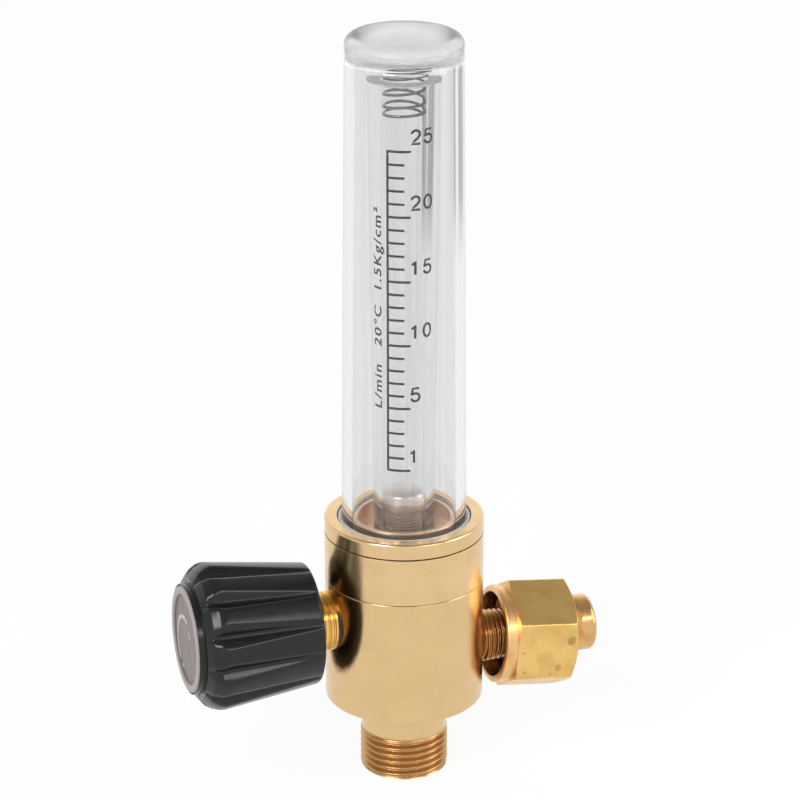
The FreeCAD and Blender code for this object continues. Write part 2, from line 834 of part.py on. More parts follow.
def make_outlet_nipple():
    nipple = turned("outlet_nipple", [
        (outlet_thread_start, s.nipple_bore),
        (outlet_thread_start, s.outlet_thread_radius),
        (nipple_flange_start, s.outlet_thread_radius),
        (nipple_flange_start, s.nipple_flange_radius),
        (nipple_flange_end, s.nipple_flange_radius),
        (nipple_flange_end, s.nipple_shaft_radius),
        (spigot_start, s.nipple_shaft_radius),
        (spigot_start, s.spigot_radius),
        (nipple_end, s.spigot_radius),
        (nipple_end, s.nipple_bore)], axis="H_Axis")
    rounded(nipple, s.nipple_round, s.spigot_radius,
            FreeCAD.Vector(plain(nipple_end), 0, 0))
    return place(nipple, z=s.outlet_height)


# Union nut: loose on the nipple, so it hangs a little low at its outer end.

def make_union_nut():
    nut_length = nut_end - nut_mouth
    corner_radius = s.nut_flats / (2 * math.cos(math.pi / 6))
    flat_radius = s.nut_flats / 2
    pivot = nut_end - s.nut_wall / 2
    hexagon = doc.addObject("Part::Prism", "nut_hexagon")
    hexagon.Polygon = 6
    for name, size in (("Circumradius", corner_radius), ("Height", nut_length)):
        setattr(hexagon, name, plain(size))
        hexagon.setExpression(name, size.text)
    mouth = nut_mouth - pivot
    end = nut_end - pivot
    spin = FreeCAD.Rotation(FreeCAD.Vector(1, 0, 0), plain(s.nut_turn))
    place(hexagon, x=mouth, rotation=spin.multiply(AROUND_X))
    collar_end = mouth + s.nut_collar_length
    envelope = turned("nut_envelope", [
        (mouth, ZERO),
        (mouth, s.nut_collar_radius - s.nut_collar_edge),
        (mouth + s.nut_collar_edge, s.nut_collar_radius),
        (collar_end, s.nut_collar_radius),
        (collar_end + s.nut_collar_rise, corner_radius + s.thread_gap),
        (end - s.nut_chamfer_run, corner_radius + s.thread_gap),
        (end, flat_radius - s.thread_gap),
        (end, ZERO)], axis="H_Axis")
    blank = common("nut_blank", hexagon, envelope)
    shoulder = end - s.nut_wall
    hollow = turned("nut_hollow", [
        (mouth - s.nut_mouth_depth, ZERO),
        (mouth - s.nut_mouth_depth, s.nut_mouth_radius + (s.nut_mouth_radius
                                                          - s.nut_thread_bore)),
        (mouth + s.nut_mouth_depth, s.nut_thread_bore),
        (shoulder, s.nut_thread_bore),
        (shoulder, s.nut_bore),
        (end + s.nut_mouth_depth, s.nut_bore),
        (end + s.nut_mouth_depth, ZERO)], axis="H_Axis")
    nut = cut("union_nut", blank, hollow)
    tilt = FreeCAD.Rotation(FreeCAD.Vector(0, 1, 0), plain(s.nut_tilt))
    return place(nut, x=pivot, z=s.outlet_height - s.nut_drop, rotation=tilt)


pieces = [
    make_valve_body(), make_inlet_filter(), make_filter_ring(),
    make_tube_ring_nut(), make_outer_cover(), make_cover_gasket(),
    make_metering_tube(), make_tube_seal(), make_float_seat(), make_float(),
    make_float_spring(),
    make_bonnet(), make_bonnet_seal(), make_stem_packing(), make_gland_bush(),
    make_valve_stem(),
    make_knob(), make_knob_bushing(), make_knob_screw(), make_knob_cap(),
    make_outlet_nipple(), make_union_nut(),
]
doc.recompute()

for item in doc.Objects:
    if "Invalid" in item.State or "Error" in item.State:
        raise RuntimeError("%s failed: %s" % (item.Name, item.State))

os.makedirs("parts", exist_ok=True)
for piece in pieces:
    piece.Label = piece.Name
    shape = piece.Shape
    if shape.isNull() or not shape.isValid() or not shape.Solids:
        raise RuntimeError("%s is not a valid solid" % piece.Name)
    shape.exportStep(os.path.join("parts", piece.Label + ".step"))
    box = shape.BoundBox
    print("%-16s solids %d volume %9.2f  x %7.2f %7.2f  z %7.2f %7.2f" % (
        piece.Label, len(shape.Solids), shape.Volume,
        box.XMin, box.XMax, box.ZMin, box.ZMax))
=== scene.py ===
import math

import bmesh
import bpy
import numpy as np
from mathutils import Matrix, Vector


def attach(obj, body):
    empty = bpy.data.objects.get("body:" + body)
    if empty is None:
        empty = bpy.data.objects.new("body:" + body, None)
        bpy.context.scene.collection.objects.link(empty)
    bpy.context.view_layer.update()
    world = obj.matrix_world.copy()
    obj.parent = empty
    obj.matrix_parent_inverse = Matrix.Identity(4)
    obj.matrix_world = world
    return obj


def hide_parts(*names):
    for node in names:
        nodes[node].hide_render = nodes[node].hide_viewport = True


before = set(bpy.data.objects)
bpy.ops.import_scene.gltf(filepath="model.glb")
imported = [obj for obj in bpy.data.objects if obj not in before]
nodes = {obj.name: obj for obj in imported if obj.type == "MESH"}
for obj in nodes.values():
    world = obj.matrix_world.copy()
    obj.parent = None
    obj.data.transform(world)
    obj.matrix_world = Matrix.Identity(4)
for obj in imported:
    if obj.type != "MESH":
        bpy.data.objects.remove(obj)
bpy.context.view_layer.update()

# An oxygen flowmeter. Lengths are in millimetres up to the mesh, which is in metres.
# +Z up the metering tube, the knob towards -X, the outlet towards +X.

MM = 0.001
VALVE_Z = 31.2
OUTLET_Z = 23.6
NUT_PIVOT = (30.0, 0.0, 22.36)
NUT_TILT = math.radians(6.1)
PIPE_PITCH = 1.337
PIPE_DEPTH = 0.80
TAIL_PITCH = 0.907
FACING = math.radians(-107.5)


# Meshes: points on a grid, joined row by row

def grid_faces(points, wrap_rows, wrap_columns):
    """Faces of a grid of points [row, column]: each joins (i, j), (i, j+1), (i+1, j+1), (i+1, j).
    A row whose points all meet is a pole and becomes one vertex."""
    rows, columns = points.shape[:2]
    index = np.arange(rows * columns).reshape(rows, columns)
    meets = np.ptp(points, axis=1).max(axis=1) < 1e-7
    index[meets] = index[meets][:, :1]
    if wrap_rows:
        index = np.vstack([index, index[:1]])
    if wrap_columns:
        index = np.hstack([index, index[:, :1]])
    quads = np.stack([index[:-1, :-1], index[:-1, 1:], index[1:, 1:], index[1:, :-1]], -1)
    quads = quads.reshape(-1, 4)
    flat_start = quads[:, 0] == quads[:, 1]
    flat_end = quads[:, 2] == quads[:, 3]
    whole = quads[~flat_start & ~flat_end]
    fans = np.vstack([quads[flat_start & ~flat_end][:, [0, 2, 3]],
                      quads[flat_end & ~flat_start][:, [0, 1, 2]]])
    return whole, fans


def signed_volume(vertices, whole, fans):
    """Sum over triangles of a . (b x c) / 6, positive when the faces point outwards."""
    triangles = np.vstack([whole[:, [0, 1, 2]], whole[:, [0, 2, 3]], fans])
    a, b, c = (vertices[triangles[:, k]] for k in range(3))
    return np.einsum("ij,ij->i", a, np.cross(b, c)).sum() / 6.0


def surface(name, points, wrap_rows=False, wrap_columns=True, smooth=True):
    """An object whose mesh is the grid of points, in millimetres, with faces turned outwards."""
    whole, fans = grid_faces(points, wrap_rows, wrap_columns)
    vertices = points.reshape(-1, 3) * MM
    if signed_volume(vertices, whole, fans) < 0:
        whole, fans = whole[:, ::-1], fans[:, ::-1]
    used = np.unique(np.concatenate([whole.ravel(), fans.ravel()]))
    place = np.zeros(len(vertices), int)
    place[used] = np.arange(len(used))
    mesh = bpy.data.meshes.new(name)
    mesh.from_pydata(vertices[used].tolist(), [],
                     place[whole].tolist() + place[fans].tolist())
    mesh.shade_smooth() if smooth else mesh.shade_flat()
    piece = bpy.data.objects.new(name, mesh)
    bpy.context.scene.collection.objects.link(piece)
    return piece


def joined(name, parts):
    """One object from several, which are removed."""
    mesh = bpy.data.meshes.new(name)
    gathered = bmesh.new()
    for part in parts:
        gathered.from_mesh(part.data)
        old = part.data
        bpy.data.objects.remove(part)
        bpy.data.meshes.remove(old)
    gathered.to_mesh(mesh)
    gathered.free()
    piece = bpy.data.objects.new(name, mesh)
    bpy.context.scene.collection.objects.link(piece)
    return piece


# Profiles: corners given as (radius, distance along the axis, rounding)

HAIRLINE = 0.02
NEARLY_STRAIGHT = math.radians(86.0)


def rounded_line(corners, closed):
    """A line through the corners, each replaced by an arc of its rounding that is tangent to both sides,
    with one more point a little before and after each arc so that the sides stay flat to the light."""
    corners = [tuple(c) + (0.0,) * (3 - len(c)) for c in corners]
    count = len(corners)
    line = []
    for k, (radius, along, rounding) in enumerate(corners):
        here = np.array([radius, along])
        before = np.array(corners[k - 1][:2]) - here
        after = np.array(corners[(k + 1) % count][:2]) - here
        reach = min(np.linalg.norm(before), np.linalg.norm(after)) * 0.48
        before, after = before / np.linalg.norm(before), after / np.linalg.norm(after)
        half = math.acos(max(-1.0, min(1.0, float(before @ after)))) / 2
        if half > NEARLY_STRAIGHT or (not closed and k in (0, count - 1)):
            line.append(here[None])
            continue
        tangent = min(max(rounding, HAIRLINE) / math.tan(half), reach)
        true_radius = tangent * math.tan(half)
        middle = here + (before + after) / np.linalg.norm(before + after) * true_radius / math.sin(half)
        steps = max(3, int(math.degrees(math.pi - 2 * half) / 12))
        t = np.linspace(0, 1, steps + 1)[:, None]
        chord = (here + before * tangent) * (1 - t) + (here + after * tangent) * t
        spoke = chord - middle
        arc = middle + spoke / np.linalg.norm(spoke, axis=1, keepdims=True) * true_radius
        margin = min(tangent * 1.25, reach * 1.04)
        line += [(here + before * margin)[None], arc, (here + after * margin)[None]]
    return np.vstack(line)


def turned_points(line, segments, ripple=None):
    """A profile turned about +Z: (r cos t, r sin t, z), with an optional radius change of (r, z, t)."""
    t = np.linspace(0, 2 * math.pi, segments, endpoint=False)[None, :]
    r = np.repeat(line[:, :1], segments, axis=1)
    z = np.repeat(line[:, 1:2], segments, axis=1)
    if ripple is not None:
        r = ripple(r, z, t)
    return np.stack([r * np.cos(t), r * np.sin(t), z], -1)


def along_valve(points):
    """Turns an upright piece so that its axis runs out along -X at the valve's height."""
    x, y, z = points[..., 0], points[..., 1], points[..., 2]
    return np.stack([-z, y, VALVE_Z + x], -1)


def along_outlet(points):
    """Turns an upright piece so that its axis runs out along +X at the outlet's height."""
    x, y, z = points[..., 0], points[..., 1], points[..., 2]
    return np.stack([z, y, OUTLET_Z + x], -1)


def along_nut(points):
    """Turns an upright piece about the nut's pivot: axis +X, then dipped by the nut's tilt."""
    x, y, z = points[..., 0], points[..., 1], points[..., 2]
    c, s = math.cos(NUT_TILT), math.sin(NUT_TILT)
    return np.stack([NUT_PIVOT[0] + c * z + s * x, NUT_PIVOT[1] + y, NUT_PIVOT[2] - s * z + c * x], -1)


def turned(name, corners, closed=False, segments=192, ripple=None, laid=None):
    """A piece made on a lathe from its corners."""
    points = turned_points(rounded_line(corners, closed), segments, ripple)
    if laid is not None:
        points = laid(points)
    return surface(name, points, wrap_rows=closed)


def dressed(piece, body, finish, stands_for=()):
    """Gives a piece its finish, the body it moves with and the node it stands for."""
    piece.data.materials.clear()
    piece.data.materials.append(finish)
    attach(piece, body)
    if stands_for:
        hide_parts(*stands_for)
    return piece


# Threads

def thread_drop(phase):
    """How far below the crest a pipe thread is at a share of its pitch: rounded crests and roots
    with straight flanks between, from a triangle wave mixed with a cosine."""
    d = np.abs(2.0 * (phase - np.floor(phase)) - 1.0)
    flank = np.clip((d - 0.14) / 0.72, 0.0, 1.0)
    return 0.3 * (0.5 - 0.5 * np.cos(math.pi * d)) + 0.7 * flank


def thread_ripple(crest, start, end, depth, tip, run_out, last, outer, pitch):
    """Cuts a right-hand thread in rows between start and end, fading over run_out before end.
    The crest is also limited by a 45 degree chamfer that starts at tip below the first row."""
    def ripple(r, z, t):
        inside = (z > start + 1e-6) & (z < end - 1e-6) & (np.abs(r - outer) < 1e-6)
        fade = np.clip((last - z) / run_out, 0.0, 1.0)
        cutting = crest - depth * thread_drop(z / pitch - t / (2 * math.pi)) * fade
        plain = crest * fade + outer * (1 - fade) if outer < crest else cutting
        shape = np.minimum(np.minimum(cutting, plain), crest - tip + (z - start))
        return np.where(inside, shape, r)
    return ripple


# Materials: expressions over sockets

class Wire:
    """One output of a node. + - * / and their reflected forms add Math nodes."""

    def __init__(self, owner, socket):
        self.owner = owner
        self.socket = socket

    def math(self, operation, *values):
        return self.owner.node("ShaderNodeMath", dict(enumerate(values)), operation=operation)

    def __add__(self, other):
        return self.math("ADD", self, other)

    def __sub__(self, other):
        return self.math("SUBTRACT", self, other)

    def __rsub__(self, other):
        return self.math("SUBTRACT", other, self)

    def __mul__(self, other):
        return self.math("MULTIPLY", self, other)

    def __truediv__(self, other):
        return self.math("DIVIDE", self, other)

    def __rtruediv__(self, other):
        return self.math("DIVIDE", other, self)

    __radd__ = __add__
    __rmul__ = __mul__

    def size(self):
        return self.math("ABSOLUTE", self)

    def root(self):
        return self.math("SQRT", self)

    def top(self, other):
        return self.math("MAXIMUM", self, other)

    def step(self, start, end):
        """0 below start, 1 above end, smooth between; start may be the larger."""
        return self.owner.node("ShaderNodeMapRange", {"Value": self, "From Min": start, "From Max": end},
                               interpolation_type="SMOOTHSTEP")


class Tree:
    """A node tree being filled, by one method that adds any node."""

    def __init__(self, tree):
        self.tree = tree

    def node(self, kind, inputs=None, out=0, **settings):
        """Adds a node with its settings, then its sockets' values or links, and gives one output."""
        made = self.tree.nodes.new(kind)
        for key, value in settings.items():
            if key == "stops":
                self.stops(made.color_ramp, value)
            else:
                setattr(made, key, value)
        for key, value in (inputs or {}).items():
            self.fill(made.inputs[key], value)
        return Wire(self, made.outputs[out])

    @staticmethod
    def stops(ramp, stops):
        for extra in range(len(stops) - 2):
            ramp.elements.new(0.5)
        for element, (position, colour) in zip(ramp.elements, stops):
            element.position = position
            element.color = colour

    def fill(self, socket, value):
        """Links a wire to the socket, or sets a plain value on it."""
        if isinstance(value, Wire):
            self.tree.links.new(value.socket, socket)
        else:
            socket.default_value = value

    def blend(self, factor, first, second):
        """Colour mix from first to second."""
        return self.node("ShaderNodeMix", {0: factor, 6: first, 7: second}, out=2, data_type="RGBA")


class Paint(Tree):
    """A material being made: its tree, its shader and the coordinates of the piece."""

    def __init__(self, name, **settings):
        self.material = bpy.data.materials.new(name)
        self.material.use_nodes = True
        super().__init__(self.material.node_tree)
        self.shader = self.tree.nodes["Principled BSDF"]
        self.coordinates = self.node("ShaderNodeTexCoord", out="Object")
        for socket, value in settings.items():
            self.set(socket.replace("_", " "), value)

    def set(self, socket, value):
        self.fill(self.shader.inputs[socket], value)

    def xyz(self):
        """The point on the piece in millimetres, as three wires."""
        split = self.node("ShaderNodeSeparateXYZ", {0: self.coordinates}).socket.node
        return tuple(Wire(self, split.outputs[k]) * 1000.0 for k in range(3))

    def stretched(self, scale):
        """Object coordinates scaled by (x, y, z), for a pattern drawn out along an axis."""
        return self.node("ShaderNodeMapping", {"Vector": self.coordinates, "Scale": scale})

    def vector(self, x, y, z):
        return self.node("ShaderNodeCombineXYZ", {0: x, 1: y, 2: z})

    def noise(self, scale, detail=3.0, rough=0.5, vector=None):
        return self.node("ShaderNodeTexNoise", {
            "Vector": vector or self.coordinates, "Scale": scale, "Detail": detail, "Roughness": rough})

    def over(self, factor, second):
        """Another shader, seen in place of the first where factor is 1."""
        first = Wire(self, self.shader.outputs[0])
        mix = self.node("ShaderNodeMixShader", {0: factor, 1: first, 2: second})
        self.fill(self.tree.nodes["Material Output"].inputs[0], mix)

    def bump(self, height, distance):
        self.set("Normal", self.node("ShaderNodeBump", {"Height": height, "Distance": distance}))


def rgb(r, g, b):
    """A screen colour, 0 to 255, as the linear colour that a shader takes."""
    linear = [((c / 255 + 0.055) / 1.055) ** 2.4 if c > 10 else c / 255 / 12.92 for c in (r, g, b)]
    return (*linear, 1.0)


LINE_DEPTH = 0.04 * MM


def turned_brass(name, bright, dull, rough, along, lines=0.5, spots=0.0, spot_colour=None, tones_and_painted_light=()):
    """Polished brass off a lathe: slow changes of tone, fine turning lines along the axis
    and, where asked, small round stains. Each entry of the tones list is (mask, colour, added roughness): a
    change of tone, or painted light or shade in a recess."""
    paint = Paint(name, Metallic=1.0)
    x, y, z = paint.xyz()
    axis = z if along == "z" else x
    mottle = paint.noise(180.0, 4.0, 0.55).step(0.35, 0.68)
    colour = paint.blend(mottle, bright, dull)
    streak = paint.noise(1.0, 2.0, 0.7, vector=paint.vector(0.0, 0.0, axis * 9.0))
    fine = paint.noise(1.0, 1.0, 0.5, vector=paint.vector(0.0, 0.0, axis * 34.0))
    if spots:
        cells, chosen = (
            paint.node("ShaderNodeTexVoronoi", {"Vector": paint.coordinates, "Scale": 260.0}, out=output)
            for output in ("Distance", "Color"))
        rare = paint.node("ShaderNodeSeparateColor", {0: chosen}).step(1.0 - spots, 1.01 - spots)
        mark = cells.step(0.16, 0.10) * rare * 0.55
        colour = paint.blend(mark, colour, spot_colour)
    gloss = mottle * 0.03 + streak * 0.10 + (rough - 0.06)
    for mask, shade, rougher in tones_and_painted_light:
        share = mask(x, y, z)
        colour = paint.blend(share, colour, shade)
        gloss = gloss + share * rougher
    paint.set("Base Color", colour)
    paint.set("Roughness", gloss)
    paint.bump(streak * 0.5 + fine * 0.5, LINE_DEPTH * lines)
    return paint.material


def in_cup(x, y, z):
    """The inside of the cup that holds the tube's foot, painted lighter than its brass: painted light
    against the shade in the cup.
    """
    return z.step(45.2, 45.7) * (x * x + y * y).root().step(9.90, 9.75)


def in_thread(x, y, z):
    """The inlet thread, painted darker and rougher than the shank above it."""
    return z.step(7.9, 7.3)


def in_hole(x, y, z):
    """The wall of the ring's hole, painted lighter than its brass: painted light against the shade in the
    hole.
    """
    return (x * x + y * y).root().step(12.75, 12.65)


def in_mouth(x, y, z):
    """The outlet's tail where it stands in the nut's mouth, painted a little darker than the rest: painted
    shade of the mouth, with grime.
    """
    return x.step(24.0, 23.6)


def in_groove(x, y, z):
    """A darker tone in the fine groove round the ring and in the joint below it."""
    return (z - 48.2).size().step(0.17, 0.10).top(z.step(39.02, 38.94))


GOLD = rgb(222, 189, 140)
GOLD_DEEP = rgb(218, 185, 136)
# Painted light: the cup's inside is painted lighter than its brass, against the shade in the cup. The inlet
# thread is painted darker and rougher.
body_finish = turned_brass("brass_body", GOLD, GOLD_DEEP, 0.17, "z", lines=0.35, tones_and_painted_light=(
    (in_cup, rgb(255, 226, 200), 0.30), (in_thread, rgb(192, 152, 104), 0.10)))
# Painted light: the wall of the ring's hole is painted lighter than its brass, against the shade in the
# hole. The groove and the joint are painted darker.
ring_finish = turned_brass("brass_ring", rgb(226, 194, 146), rgb(220, 187, 138), 0.18, "z", lines=0.35,
                           spots=0.05, spot_colour=rgb(120, 84, 44),
                           tones_and_painted_light=((in_groove, rgb(92, 64, 36), 0.2), (in_hole, rgb(240, 216, 194), 0.25)))
bonnet_finish = turned_brass("brass_bonnet", rgb(234, 188, 108), rgb(212, 160, 80), 0.18, "x", lines=0.7)
# Painted shade, with grime: the tail inside the nut's mouth is painted darker.
nipple_finish = turned_brass("brass_nipple", rgb(222, 178, 118), rgb(202, 152, 94), 0.18, "x", lines=0.5,
                             tones_and_painted_light=((in_mouth, rgb(196, 152, 100), 0.04),))


def nut_brass():
    """Nut: brushed flats, a redder polished collar, an inner mouth painted darker as painted shade with
    grime, and round stains.
    """
    paint = Paint("brass_nut", Metallic=1.0)
    x, y, z = paint.xyz()
    grain = paint.noise(1.0, 3.0, 0.6, vector=paint.stretched((260.0, 2600.0, 2600.0)))
    cloud = paint.noise(240.0, 5.0, 0.6).step(0.36, 0.70)
    flats = paint.blend(cloud, rgb(233, 194, 120), rgb(216, 174, 102))
    collar = paint.blend(cloud, rgb(234, 192, 134), rgb(214, 166, 110))
    across, rise = x - NUT_PIVOT[0], z - NUT_PIVOT[2]
    back = across * math.cos(NUT_TILT) - rise * math.sin(NUT_TILT) + 10.1
    colour = paint.blend(back.step(0.25, -0.25), flats, collar)
    up = across * math.sin(NUT_TILT) + rise * math.cos(NUT_TILT)
    # Painted shade, with grime: the inside of the nut's mouth is painted darker brown.
    shade_and_grime_in_nut_mouth = (y * y + up * up).root().step(8.5, 8.1) * back.step(4.0, 2.0)
    colour = paint.blend(shade_and_grime_in_nut_mouth, colour, rgb(164, 120, 74))
    marks = None
    for centre, radius, depth in NUT_STAINS:
        away = ((x - centre[0]) * (x - centre[0]) + (y - centre[1]) * (y - centre[1])
                + (z - centre[2]) * (z - centre[2])).root()
        wobble = paint.noise(900.0, 2.0, 0.5) * 0.5 - 0.25
        mark = (away + wobble).step(radius * 1.08, radius * 0.86) * depth
        marks = mark if marks is None else marks.top(mark)
    speck = paint.noise(1500.0, 2.0, 0.5).step(0.70, 0.76) * 0.35
    colour = paint.blend(marks.top(speck), colour, rgb(146, 118, 62))
    paint.set("Base Color", colour)
    paint.set("Roughness", grain * 0.16 + cloud * 0.06 + marks * 0.10 + 0.20)
    paint.bump(grain, 0.02 * MM)
    return paint.material


NUT_STAINS = [
    ((30.6, -9.5, 24.6), 0.95, 0.55),
    ((27.8, -9.6, 19.4), 0.70, 0.45),
    ((20.9, -9.5, 23.3), 0.30, 0.45),
    ((21.0, -9.6, 19.2), 0.35, 0.40),
    ((26.2, -9.6, 18.2), 0.32, 0.35),
]
nut_finish = nut_brass()


# Heights where the painted reflection, a dark upright band in the clear plastic, rises, is full and ends.
BAND_FOOT, BAND_FULL, BAND_END = 100.0, 118.0, 139.0
REFLECTION_DARK = (0.16, 0.16, 0.16, 1.0)
MILK = (0.80, 0.785, 0.77, 1.0)


def clear_plastic(name, tint, rough, haze_scale, band, hazes):
    """Clear moulding: full transmission, with fine upright streaks and a painted reflection: a dark upright
    band about the angle band, which grows from BAND_FOOT to full at BAND_FULL and ends at BAND_END. Each
    haze is (mask, how much light it scatters)."""
    paint = Paint(name, IOR=1.49, Transmission_Weight=1.0)
    x, y, z = paint.xyz()
    haze = paint.noise(haze_scale, 3.0, 0.55)
    streak = paint.noise(1.0, 2.0, 0.5, vector=paint.stretched((900.0, 900.0, 9.0)))
    away = (x * x + y * y).root()
    facing = (x * math.cos(band) + y * math.sin(band)) / away
    rise = z.step(BAND_FOOT, BAND_FULL) * z.step(BAND_END + 2.0, BAND_END)
    # Painted reflection: a dark upright band in the clear plastic, fixed to the piece.
    painted_reflection = facing.step(0.9910, 0.9980) * rise * (0.4 + streak)
    deep = tuple(0.93 * c for c in tint[:3]) + (1.0,)
    colour = paint.blend(streak.step(0.48, 0.70), tint, deep)
    paint.set("Base Color", paint.blend(painted_reflection, colour, REFLECTION_DARK))
    gloss = streak.step(0.55, 0.85) * rough
    scatter = None
    for mask, amount in hazes:
        share = mask(z, away)
        gloss = gloss + share * 0.40
        scatter = share * amount if scatter is None else scatter.top(share * amount)
    paint.set("Roughness", gloss)
    paint.over(scatter, paint.node("ShaderNodeBsdfPrincipled", {"Base Color": MILK, "Roughness": 0.45}))
    paint.bump(streak * 0.6 + haze * 0.4, 0.006 * MM)
    return paint.material


cover_finish = clear_plastic(
    "clear_cover_moulding", (0.872, 0.874, 0.877, 1.0), 0.03, 140.0, math.radians(-40.0),
    ((lambda z, away: z.step(141.4, 143.6), 0.22),
     (lambda z, away: z.step(141.0, 141.25) * away.step(9.4, 9.0), 0.08),
     (lambda z, away: z.step(51.2, 51.05) * away.step(11.76, 11.9), 0.7)))
tube_finish = clear_plastic(
    "clear_tube_moulding", (0.976, 0.979, 0.982, 1.0), 0.02, 220.0, math.radians(-64.0),
    ((lambda z, away: z.step(136.4, 136.65), 0.85),
     (lambda z, away: z.step(50.5, 48.5), 0.45)))


def knob_plastic():
    """Glossy black moulding with fine scuffs."""
    paint = Paint("plastic_knob", IOR=1.42)
    scuff = paint.noise(1.0, 4.0, 0.65, vector=paint.stretched((380.0, 1500.0, 1500.0)))
    cloud = paint.noise(420.0, 3.0, 0.5)
    paint.set("Base Color", paint.blend(cloud, rgb(14, 14, 16), rgb(24, 23, 25)))
    paint.set("Roughness", scuff.step(0.45, 0.80) * 0.08 + cloud * 0.05 + 0.17)
    paint.bump(scuff * 0.5 + cloud * 0.5, 0.010 * MM)
    return paint.material


def cap_plastic():
    """Matt taupe disc with a smoother, slightly darker recessed face, painted shade at that face's edge, and
    a pale rim.
    """
    paint = Paint("plastic_cap", IOR=1.5)
    x, y, z = paint.xyz()
    rise = z - VALVE_Z
    away = (y * y + rise * rise).root()
    grain = paint.noise(2400.0, 2.0, 0.5)
    cloud = paint.noise(260.0, 4.0, 0.55)
    face = paint.blend(cloud, rgb(119, 110, 107), rgb(106, 97, 94))
    # Painted shade: a dark ring at the edge of the recessed face, where the dish's wall shades it.
    face = paint.blend(away.step(7.9, 8.3) * 0.6, face, rgb(70, 64, 62))
    paint.set("Base Color", paint.blend(away.step(8.45, 8.7), face, rgb(152, 143, 139)))
    paint.set("Roughness", cloud * 0.1 + 0.42)
    paint.bump(grain, 0.006 * MM)
    return paint.material


def plain_finish(name, first, second, rough, metallic, scale, depth, glow=0.0):
    """A finish with a slow change of tone and a fine grain. A glow is light that the piece gives off,
    to make up for what the clear walls in front of it take away."""
    paint = Paint(name, Metallic=metallic, Emission_Color=first, Emission_Strength=glow)
    cloud = paint.noise(scale, 4.0, 0.55)
    grain = paint.noise(scale * 8.0, 2.0, 0.5)
    paint.set("Base Color", paint.blend(cloud, first, second))
    paint.set("Roughness", cloud * 0.1 + (rough - 0.05))
    paint.bump(grain, depth * MM)
    return paint.material


knob_finish = knob_plastic()
cap_finish = cap_plastic()
ink_finish = plain_finish("print_ink", rgb(14, 14, 16), rgb(24, 24, 26), 0.5, 0.0, 900.0, 0.002)
mark_finish = plain_finish("cap_print", rgb(186, 182, 178), rgb(172, 168, 165), 0.5, 0.0, 900.0, 0.002)
# Painted light: the float's faint glow makes up for the light the clear walls take away.
float_finish = plain_finish("pale_float", rgb(254, 244, 236), rgb(250, 238, 229), 0.36, 0.6, 300.0, 0.003,
                            glow=0.13)
# Painted light: the seat's colours are lighter than its metal, to make up for the shade inside the clear
# walls.
lightened_seat_finish = plain_finish("dull_seat", rgb(250, 222, 200), rgb(238, 208, 186), 0.38, 0.65, 500.0, 0.003)
spring_finish = plain_finish("steel_spring", rgb(128, 128, 130), rgb(104, 104, 107), 0.28, 1.0, 500.0, 0.004)
steel_finish = plain_finish("steel_stem", rgb(190, 190, 192), rgb(168, 168, 170), 0.28, 1.0, 500.0, 0.004)
pale_seal_finish = plain_finish("pale_seal", rgb(240, 230, 221), rgb(230, 219, 209), 0.5, 0.0, 600.0, 0.01)
rubber_finish = plain_finish("rubber_seal", rgb(40, 39, 38), rgb(52, 50, 48), 0.6, 0.0, 600.0, 0.02)
bronze_finish = plain_finish("bronze_filter", rgb(176, 138, 84), rgb(128, 94, 54), 0.55, 1.0, 1800.0, 0.08)


# Body: inlet thread, shank, block, ring thread, neck, cup and socket

def make_body():
    thread_rows = [(8.15, z) for z in np.arange(-0.76, 8.0, 0.05)]
    corners = [
        (0.0, 6.0), (4.55, 6.0, 0.05), (4.55, -0.8, 0.15), (7.53, -0.8, 0.05)] + thread_rows + [
        (8.15, 14.4, 0.2), (15.0, 14.4, 0.5), (15.0, 38.9, 0.18), (13.05, 38.9), (13.05, 45.8),
        (9.62, 45.8), (9.62, 51.6, 0.3), (8.72, 51.6, 0.2), (8.72, 48.6, 0.15), (5.75, 48.6, 0.1),
        (5.75, 43.6), (2.95, 43.6), (2.95, 37.4), (0.0, 37.4)]
    thread = thread_ripple(crest=8.33, start=-0.8, end=8.0, depth=PIPE_DEPTH, tip=0.8,
                           run_out=0.7, last=7.7, outer=8.15, pitch=PIPE_PITCH)
    body = turned("body_block", corners, segments=224, ripple=thread)
    dressed(body, "housing", body_finish, ["valve_body"])


def make_ring_nut():
    corners = [
        (13.1, 38.9), (15.0, 38.9, 0.18), (15.0, 48.05, 0.03), (14.8, 48.2), (15.0, 48.35, 0.03),
        (15.0, 51.25, 0.45), (12.6, 51.25, 0.25), (12.6, 48.4), (13.1, 48.4)]
    nut = turned("clamp_ring", corners, closed=True, segments=224)
    dressed(nut, "housing", ring_finish, ["tube_ring_nut"])


# Clear cover and metering tube

def make_cover():
    corners = [
        (0.0, 144.3), (10.78, 144.22, 1.8), (11.72, 51.0), (12.5, 51.0, 0.3), (12.5, 48.4),
        (12.95, 48.4, 0.2), (12.95, 46.4, 0.2), (9.87, 46.4, 0.1), (8.93, 141.3, 2.6), (0.0, 141.3)]
    cover = turned("cover_shell", corners, segments=256)
    dressed(cover, "housing", cover_finish, ["outer_cover"])


def make_tube():
    corners = [
        (4.12, 44.4, 0.1), (5.7, 44.4, 0.3), (5.7, 56.0), (6.8, 136.7, 0.3), (4.35, 136.7, 0.15),
        (4.12, 56.0)]
    tube = turned("scaled_tube", corners, closed=True, segments=256)
    dressed(tube, "housing", tube_finish, ["metering_tube"])


